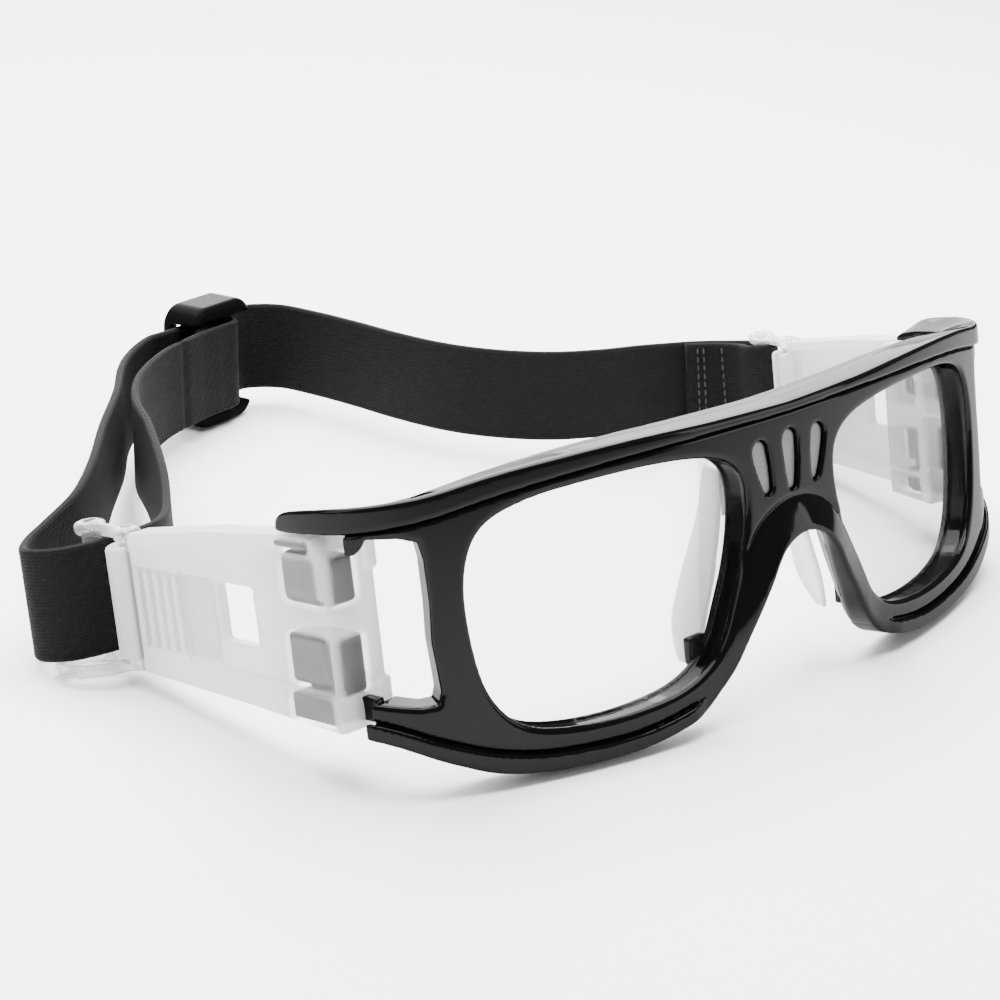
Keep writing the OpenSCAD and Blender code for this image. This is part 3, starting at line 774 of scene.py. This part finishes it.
def core_shape(x, y, z, which):
    """The dark core of the hinge, upper or lower."""
    return np.minimum.reduce([block(x, y, z, *c) for c in CORES[which]])


def shield_shape(x, y, z):
    """The shield's wall, its hinge block with the cap, and the ribs and barrel at its rear."""
    w, b = wall_field(y, z), block_field(y, z)
    out = slab(w, x, WALL_IN, WALL_OUT, 0.7)
    out = join(out, np.maximum(slab(np.maximum(w, -1.6 - w), x, 76.6, 82.25, 0.5), 37 - y), 0.4)
    corner = np.hypot(np.minimum(y - 29.3, 0), np.maximum(z - 34.9, 0)) - 4.9
    out = join(out, np.maximum(slab(b, x, 75.2, WALL_OUT, 0.9), corner), 0.3)
    out = join(out, slab(b, x, 72, 76.4, 0.8), 0.4)
    out = join(out, slab(cap_field(y, z), x, 74, 82.5, 0.6), 0.2)
    out = join(out, block(x, y, z, (77, 28.4, 37.7), (82.4, 37.3, 39.9), 0.5), 0.2)
    for z0, z1 in ((33.5, 38.6), (16.0, 12.2)):
        out = join(out, block(x, y, z, (71.6, 23.9, min(z0, z1)), (74, 27, max(z0, z1)), 0.6), 0.3)
    out = cut(out, block(x, y, z, (81.62, 25.4, 15.3), (85, 54.3, 30.3), 0.35), 0.2)
    out = cut(out, block(x, y, z, (81.1, 54.6, 16.2), (85, 62.2, 30.2), 0.3), 0.25)
    out = cut(out, block(x, y, z, (70, 44, 20), (90, 53.4, 30), 0.8), 0.3)
    for i in range(RIBS):
        y0 = RIB_FROM + RIB_STEP * i
        out = join(out, block(x, y, z, (80, y0, 16.2), (82.65, y0 + RIB_W, 29.8), 0.5), 0.5)
    out = join(out, puck(x, y, z, SWIVEL, 4.0, 13, 32.6, 0.7), 0.9)
    out = cut(out, block(x, y, z, (81.5, 76.6, 13.4), (84, 77.3, 32.4), 0.2), 0.3)
    bore = np.hypot(x - SWIVEL[0], y - SWIVEL[1]) - 1.6
    slit = block(x, y, z, (72, 79.7, 5), (79.5, 81.3, 45), 0.2)
    return cut(out, np.minimum(bore, slit), 0.3)


BOW = [(80.5, 81.2), (85.5, 82.4), (89, 85.6), (90.2, 89.2), (88.6, 92.4), (84.4, 93.4), (80.6, 92)]


def ring_shape(x, y, z, bowed):
    """The clear ring, with or without the bow of its lower link."""
    c1, c2 = SWIVEL, (SWIVEL[0], SWIVEL[1] + REACH)
    out = np.minimum(rod(x, y, z, (*c1, RING_Z + 1), (*c1, RING_Z + RING_H - 1), 1.5),
                     rod(x, y, z, (*c2, RING_Z + 1), (*c2, RING_Z + RING_H - 1), 1.7))
    for z0 in (RING_Z + LINK, RING_Z + RING_H - LINK):
        out = join(out, rod(x, y, z, (*c1, z0), (*c2, z0), 1.15), 0.9)
        out = join(out, puck(x, y, z, c1, 2.4, z0 - LINK, z0 + LINK, 0.7), 0.7)
        out = join(out, puck(x, y, z, c2, 2.8, z0 - LINK, z0 + LINK, 0.8), 0.8)
        far = z0 + (LINK if z0 > RING_Z + LINK else -LINK)
        out = cut(out, rod(x, y, z, (*c2, far - 0.3), (*c2, far + 0.5), 1.2), 0.5)
        out = cut(out, rod(x, y, z, (*c1, far - 0.1), (*c1, far + 0.5), 0.9), 0.4)
    if not bowed:
        return out
    level = RING_Z + LINK
    bow = rod(x, y, z, (*BOW[0], level), (*BOW[1], level), LINK)
    for a, b in zip(BOW[1:-1], BOW[2:]):
        bow = join(bow, rod(x, y, z, (*a, level), (*b, level), LINK), 0.4)
    return join(out, bow, 0.8)


side_skins = {
    "shield": skin(shield_shape, (71, 22.4, 8), (83.4, 85.4, 41), 0.45),
    "ring_right": skin(lambda *at: ring_shape(*at, True), (76.2, 77.6, 9.8), (92, 95.2, 36.2), 0.35),
    "ring_left": skin(lambda *at: ring_shape(*at, False), (76.2, 77.6, 9.8), (84.6, 95.2, 36.2), 0.35),
    "upper": skin(lambda *at: core_shape(*at, "upper"), (75.8, 24.4, 28.2), (82.6, 37, 39.6), 0.45),
    "lower": skin(lambda *at: core_shape(*at, "lower"), (75.4, 24.4, 9.2), (82.6, 37, 24), 0.45),
}


def outside(v, middle, reach):
    """Distance past either end of a span."""
    return np.abs(v - middle) - reach


def shield_looks(x, y, z):
    """How clear the frosted plastic is at each point, and how much painted shade darkens it in its
    hollows, grooves and over the hinge cores.
    """
    near_core = np.minimum(core_shape(x, y, z, "upper"), core_shape(x, y, z, "lower"))
    clear = 1 - step(near_core, 0.5, 1.25)
    inner = np.maximum(outside(y, 31.6, 4.4), np.minimum.reduce(
        [outside(z, c, w) for c, w in ((32.8, 3.6), (19.6, 3.8), (11.8, 1.6))]))
    patch = (1 - step(inner, 0, 1.2)) * (x < 73)
    clear = np.maximum(clear, 0.5 * patch)
    recess = np.maximum(outside(y, 58.3, 3.4), outside(z, 23.2, 6.7))
    clear = np.maximum(clear, 0.22 * (1 - step(recess, 0, 0.5)) * (x > 80.6))
    # Painted shade on the floor of the recess.
    painted_shade = 0.5 * (1 - step(recess, 0, 0.4)) * (x < 81.8) * (x > 80.6)
    # Painted shade over the hinge cores on the inner face, where the cores would lie in shadow.
    painted_shade = np.maximum(painted_shade, 0.85 * patch)
    ribs = np.maximum(outside(y, 69.2, 6.6), outside(z, 23, 6.6))
    valleys = (1 - step(ribs, 0, 0.6)) * (1 - step(x, 82.1, 82.5)) * (x > 81)
    # Painted shade in the valleys between the ribs.
    painted_shade = np.maximum(painted_shade, 0.5 * valleys)
    # Painted shade along the slit by the barrel.
    painted_shade = np.maximum(painted_shade, 0.8 * (1 - step(np.abs(y - 77), 0.2, 0.7)) * (x > 80))
    # Painted shade: a dark line along the edge just in front of the ribs.
    shade_line = np.maximum(np.abs(y - 62.8), outside(z, 23.1, 7.6))
    return clear, np.maximum(painted_shade, 0.5 * (1 - step(shade_line, 0.1, 0.5)) * (x > 81))


def side_piece(key, name, left):
    """A side part's points as drawn, and its mesh on the chosen side."""
    p, q = side_skins[key]
    return p, new_mesh(name, lean(on_side(p, left)), q)


for left in (True, False):
    hand = side_word(left)
    p, shield = side_piece("shield", "shield_" + hand, left)
    # The second value is painted shade, stored as an attribute that darkens the frosted colour.
    clear, painted_shade = shield_looks(*p.T)
    attribute(shield, "clear", clear)
    attribute(shield, "painted_shade", painted_shade)
    finish_piece(shield, "side_" + hand, FROST, ["side_shield_" + hand])
    for which in ("upper", "lower"):
        core = side_piece(which, "core_%s_%s" % (which, hand), left)[1]
        finish_piece(core, "side_" + hand, CORE, ["hinge_core_%s_%s" % (which, hand)])
        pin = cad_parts["hinge_pin_%s_%s" % (which, hand)]
        pin.data.materials.clear()
        pin.data.materials.append(PIN)
    ring = side_piece("ring_" + hand, "ring_" + hand, left)[1]
    finish_piece(ring, "ring_" + hand, CLEAR, ["strap_ring_" + hand])


# ---------- slider, drawn with the strap along x ----------
def slider_shape(x, y, z):
    """Three-bar slide: a rounded block with a window, a way through for the strap and a middle bar."""
    h, corner = SLIDER_H, 5
    dx, dz = np.abs(x) - SLIDER_L / 2, np.abs(z - h / 2) - h / 2
    q = np.hypot(np.maximum(dx + corner, 0), np.maximum(dz + corner, 0)) - corner
    q = np.maximum(q, np.maximum(dx, dz))
    body = slab(q, y, -5.6, 4.0, 1.3)
    hollow = block(x, y, z, (-7.6, -9, 3.2), (7.6, 9, h - 3.6), 1.5)
    out = cut(body, hollow, 0.8)
    out = cut(out, block(x, y, z, (-14, -7, 3.2), (14, 1.3, h - 3.6), 1.0), 0.6)
    return join(out, block(x, y, z, (0.4, -5.5, 1), (2.8, -3.0, h - 1), 0.8), 0.5)


def slider_point(a, b):
    """Plan point given along and across the slider."""
    c, s = math.cos(SLIDER_A), math.sin(SLIDER_A)
    return (SLIDER_AT[0] + c * a - s * b, SLIDER_AT[1] + s * a + c * b)


def from_slider(p):
    """Slider points to the row frame, in metres."""
    q = np.stack([*slider_point(p[:, 0], p[:, 1]), p[:, 2]], 1)
    return (q - MIDDLE) * 0.001


p, q = skin(slider_shape, (-10.8, -6.4, -0.8), (10.8, 4.8, SLIDER_H + 0.8), 0.4)
slider = new_mesh("slider_buckle", from_slider(p), q)
finish_piece(slider, "strap_slider", SLIDER, ["slider"])

# ---------- strap ----------
RING_MID = LOOP_Z + STRAP_W / 2
# Plan of the strap at mid height, and how far it leans with the rings: (x, y, lean).
strap_plan = [
    (86.5, 105.4, 0.5), (90.5, 103.5, 0.7), (93.8, 100.8, 0.9), (94.8, 96.8, 1), (93.6, 92.6, 1),
    (94.2, 89.6, 1), (96.2, 88.4, 1), (98.2, 89.3, 1), (99.0, 92, 1), (98.6, 95.8, 1),
    (97.1, 100.2, 0.95), (93.2, 104.4, 0.75), (87, 107.2, 0.5), (76, 109.9, 0.15), (65.5, 112.8, 0),
    (56.5, 118.5, 0), (49, 127.5, 0), (44, 138.5, 0), (41.6, 152, 0), (40.6, 166, 0), (39, 179, 0),
    (36.6, 188, 0), (30.4, 192.85, 0), (24, 191.5, 0), (17, 190, 0), (5.26, 187.5, 0),
    (-1.6, 186.04, 0), (-11, 179.6, 0), (-19, 171.6, 0), (-29, 159.2, 0), (-43.5, 143.3, 0),
    (-57, 127.6, 0.05), (-68, 116.7, 0.25), (-79, 109, 0.6), (-87, 103, 0.9), (-91.1, 97, 1),
    (-88.8, 92.2, 1), (-84, 90.1, 1), (-78, 89.7, 1), (-71, 90.4, 1), (-66, 92.8, 1),
    (-61.3, 97.5, 0.9), (-55, 106.5, 0.5), (-47.5, 118.5, 0.15), (-37, 137, 0), (-29, 152.5, 0),
    (-19, 165, 0), (-6, 174.8, 0),
    (*slider_point(-14, -7.7), 0), (*slider_point(-8, -6.95), 0), (*slider_point(-2.5, -6.85), 0),
    (*slider_point(1.4, -6.85), 0), (*slider_point(3.5, -5.9), 0), (*slider_point(4.15, -4.3), 0),
    (*slider_point(3.4, -2.6), 0), (*slider_point(1.4, -1.75), 0), (*slider_point(-1.6, -2.2), 0),
    (*slider_point(-4.8, -4.1), 0), (*slider_point(-8.6, -5.3), 0)]
fine = smooth_line(strap_plan, 24)
length = np.concatenate([[0], np.cumsum(np.hypot(*np.diff(fine[:, :2], axis=0).T))])
ROW = 0.8
count = int(length[-1] / ROW)
at = np.linspace(0, length[-1], count)
line = np.stack([np.interp(at, length, fine[:, k]) for k in range(3)], 1)


def nearest(x, y, lo=0, hi=None):
    """The strap's row nearest to a plan point, among rows lo to hi."""
    d = np.hypot(line[lo:hi, 0] - x, line[lo:hi, 1] - y)
    return lo + int(np.argmin(d))


tilt = line[:, 2:3]
goggle_y = (line[:, 1] - RING_MID * LEAN_SIN) / LEAN_COS
ring_z = -goggle_y * LEAN_SIN + RING_MID * LEAN_COS + LIFT
mid_z = (1 - tilt[:, 0]) * (STRAP_BASE + STRAP_W / 2) + tilt[:, 0] * ring_z
centre = np.stack([line[:, 0], line[:, 1], mid_z], 1)
up = np.concatenate([np.zeros_like(tilt), LEAN_SIN * tilt, 1 - tilt * (1 - LEAN_COS)], 1)
up /= np.linalg.norm(up, axis=1, keepdims=True)
along = np.gradient(centre, axis=0)
along /= np.linalg.norm(along, axis=1, keepdims=True)
side = np.cross(up, along)
side /= np.linalg.norm(side, axis=1, keepdims=True)
# Cross-section of the band: flat faces that thicken a little towards rounded edges.
STRAP_UP, STRAP_OUT = STRAP_W / 2, STRAP_T / 2
EDGE_R, EDGE_FROM, THICKEN = 0.75, 0.35, 0.9
face = [(v, STRAP_OUT * (1.0 + 0.1 * math.exp(-((STRAP_UP - abs(v)) / THICKEN) ** 2)))
        for v in np.linspace(-STRAP_UP + EDGE_R, STRAP_UP - EDGE_R, 27)]
tip = [(STRAP_UP - EDGE_R + EDGE_R * math.sin(a), STRAP_OUT * 1.04 * math.cos(a))
       for a in np.linspace(EDGE_FROM, math.pi - EDGE_FROM, 5)]
PROFILE = np.array(face + tip + [(-v, -w) for v, w in face] + [(-v, -w) for v, w in tip])
# Thickness along the strap: thinner in the slider, with a crease and a fold behind it in the inner leg.
THIN = np.ones(count)
THIN[nearest(*slider_point(-2.5, -6.85), int(count * 0.8)):] = 0.86
crease = nearest(1.9, 178.4, int(count * 0.8))
THIN[crease + 2:crease + 9] = 1.14
THIN[crease - 1:crease + 2] = (0.75, 0.45, 0.75)


def strap_piece(name, i0, i1, start_cap=False, end_cap=False):
    """The band from row i0 to row i1, with the weave's coordinates in millimetres."""
    rows = np.arange(i0, i1 + 1)
    m = len(PROFILE)
    pts = []
    for r in rows:
        pts.append(centre[r] + PROFILE[:, :1] * up[r] + PROFILE[:, 1:] * side[r] * THIN[r])
    pts = (np.vstack(pts) - MIDDLE) * 0.001
    faces, loops = [], []
    vcoord = np.concatenate([[0], np.cumsum(np.hypot(*np.diff(PROFILE, axis=0).T))])
    for k in range(len(rows) - 1):
        for j in range(m):
            j1 = (j + 1) % m
            faces.append((k * m + j, k * m + j1, (k + 1) * m + j1, (k + 1) * m + j))
            v0, v1 = vcoord[j], vcoord[j + 1] if j1 else vcoord[-1] + 0.5
            u0, u1 = at[rows[k]], at[rows[k + 1]]
            loops += [(u0, v0), (u0, v1), (u1, v1), (u1, v0)]
    if start_cap:
        faces.append(tuple(range(m))[::-1])
        loops += [(0.1 * j, 0) for j in range(m)]
    if end_cap:
        faces.append(tuple((len(rows) - 1) * m + j for j in range(m)))
        loops += [(0.1 * j, 0) for j in range(m)]
    obj = new_mesh(name, pts, faces)
    layer = obj.data.uv_layers.new(name="weave")
    layer.data.foreach_set("uv", np.array(loops, np.float32).ravel())
    obj.data.materials.append(STRAP)
    return obj


half = count // 2
cuts = {
    "a": nearest(76, 109.9, int(count * 0.1)),
    "b": nearest(38.5, 182, 0, half),
    "c": nearest(-5, 184.5, 0, int(count * 0.6)),
    "d": nearest(-80, 108.4),
    "e": nearest(-78, 89.7),
    "f": nearest(-59.5, 100, half),
    "g": nearest(-31.5, 148, half),
}
left_tail = strap_piece("strap_left_end", 0, cuts["a"], start_cap=True)
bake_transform(left_tail)
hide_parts("strap_end_left")
left_run = strap_piece("strap_left_run", cuts["a"], cuts["b"])
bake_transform(left_run)
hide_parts("strap_side_left")
back = strap_piece("strap_back", cuts["b"], cuts["c"])
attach(back, "frame")
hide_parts("strap_main")
right_run = strap_piece("strap_right_run", cuts["c"], cuts["d"])
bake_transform(right_run)
outer_end = strap_piece("strap_right_outer", cuts["d"], cuts["e"])
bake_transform(outer_end)
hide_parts("strap_side_outer_right", "strap_loop_right")
inner_end = strap_piece("strap_right_inner", cuts["e"], cuts["f"])
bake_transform(inner_end)
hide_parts("strap_side_inner_right")
inner_run = strap_piece("strap_inner_run", cuts["f"], cuts["g"])
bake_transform(inner_run)
leg = strap_piece("strap_slider_leg", cuts["g"], count - 1, end_cap=True)
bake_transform(leg)
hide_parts("strap_return_leg", "strap_sewn_loop")


def stitches(name, rows, sign, body):
    """Rows of sewing thread across the strap; sign is the face it shows on."""
    pts, faces = [], []
    for r in rows:
        for v in np.arange(-STRAP_UP + 1.3, STRAP_UP - 1.2, 1.9):
            c = centre[r] + up[r] * v + side[r] * sign * (STRAP_OUT * 1.02 * THIN[r])
            base = len(pts)
            for k in range(7):
                f = k / 6 * 2 - 1
                rad = 0.24 * math.sqrt(max(0.04, 1 - f * f))
                mid = c + up[r] * f * 0.72 + side[r] * sign * (0.12 - 0.16 * f * f)
                for j in range(6):
                    a = j * math.pi / 3
                    pts.append(mid + along[r] * rad * math.cos(a) + side[r] * rad * math.sin(a))
            for k in range(6):
                for j in range(6):
                    row, j1 = base + k * 6, (j + 1) % 6
                    faces.append((row + j, row + j1, row + 6 + j1, row + 6 + j))
    obj = new_mesh(name, (np.array(pts) - MIDDLE) * 0.001, faces)
    obj.data.materials.append(THREAD)
    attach(obj, body)
    return obj


stitches("stitch_left_inside", [3, 5, 11], -1, "ring_left")
stitches("stitch_leg", [crease + 3, crease + 5], 1, "strap_slider")

# ---------- floor, light and camera ----------
bpy.ops.mesh.primitive_plane_add(size=12, location=(0, 0, -0.0002))
floor = bpy.context.object
floor.name = "floor"
floor_mat = material("floor_pale", (0.9, 0.9, 0.9), 0.9)
floor.data.materials.append(floor_mat)


def lamp(name, place_at, target, size, power, size_y=None):
    """A white area light aimed at the target."""
    data = bpy.data.lights.new(name, "AREA")
    data.energy = power
    data.size = size
    if size_y:
        data.shape = "RECTANGLE"
        data.size_y = size_y
    obj = bpy.data.objects.new(name, data)
    bpy.context.scene.collection.objects.link(obj)
    obj.location = place_at
    obj.rotation_euler = (Vector(target) - Vector(place_at)).to_track_quat("-Z", "Y").to_euler()
    return obj


lamp("top", (0.05, 0.12, 0.75), (0, 0, 0), 0.8, 40)
lamp("behind", (0.6, 1.1, 1.0), (0.25, 0.45, 0), 1.3, 52)
lamp("right", (0.85, -0.95, 0.3), (0, 0, 0.02), 0.6, 7)
lamp("left", (-1.3, 0.2, 0.8), (0, 0, 0.02), 0.9, 12)
lamp("backdrop", (1.35, 1.6, 0.42), (0, 0, 0.1), 1.6, 46, size_y=0.8)

world = bpy.data.worlds.new("studio")
world.use_nodes = True
world.node_tree.nodes["Background"].inputs[0].default_value = (1, 1, 1, 1)
world.node_tree.nodes["Background"].inputs[1].default_value = 0.3
bpy.context.scene.world = world

# Camera as solved from the photograph: its turn round, its height angle, its roll and its place in mm.
AZ, EL, ROLL = math.radians(-44.183), math.radians(20.092), math.radians(0.621)
CAMERA_AT = (-299.35, -232.08, 172.1)
forward = Vector((-math.sin(AZ) * math.cos(EL), math.cos(AZ) * math.cos(EL), -math.sin(EL)))
flat_right = Vector((math.cos(AZ), math.sin(AZ), 0))
flat_up = flat_right.cross(forward)
right = flat_right * math.cos(ROLL) + flat_up * math.sin(ROLL)
cam_up = flat_up * math.cos(ROLL) - flat_right * math.sin(ROLL)
cam = bpy.data.cameras.new("camera")
cam.lens = 86.4
cam.sensor_width = 36.0
cam.clip_start = 0.01
camera = bpy.data.objects.new("camera", cam)
bpy.context.scene.collection.objects.link(camera)
spot = (Vector(CAMERA_AT) - Vector(MIDDLE)) * 0.001
camera.matrix_world = Matrix((
    (right.x, cam_up.x, -forward.x, spot.x), (right.y, cam_up.y, -forward.y, spot.y),
    (right.z, cam_up.z, -forward.z, spot.z), (0, 0, 0, 1)))
bpy.context.scene.camera = camera

bpy.context.view_layer.update()
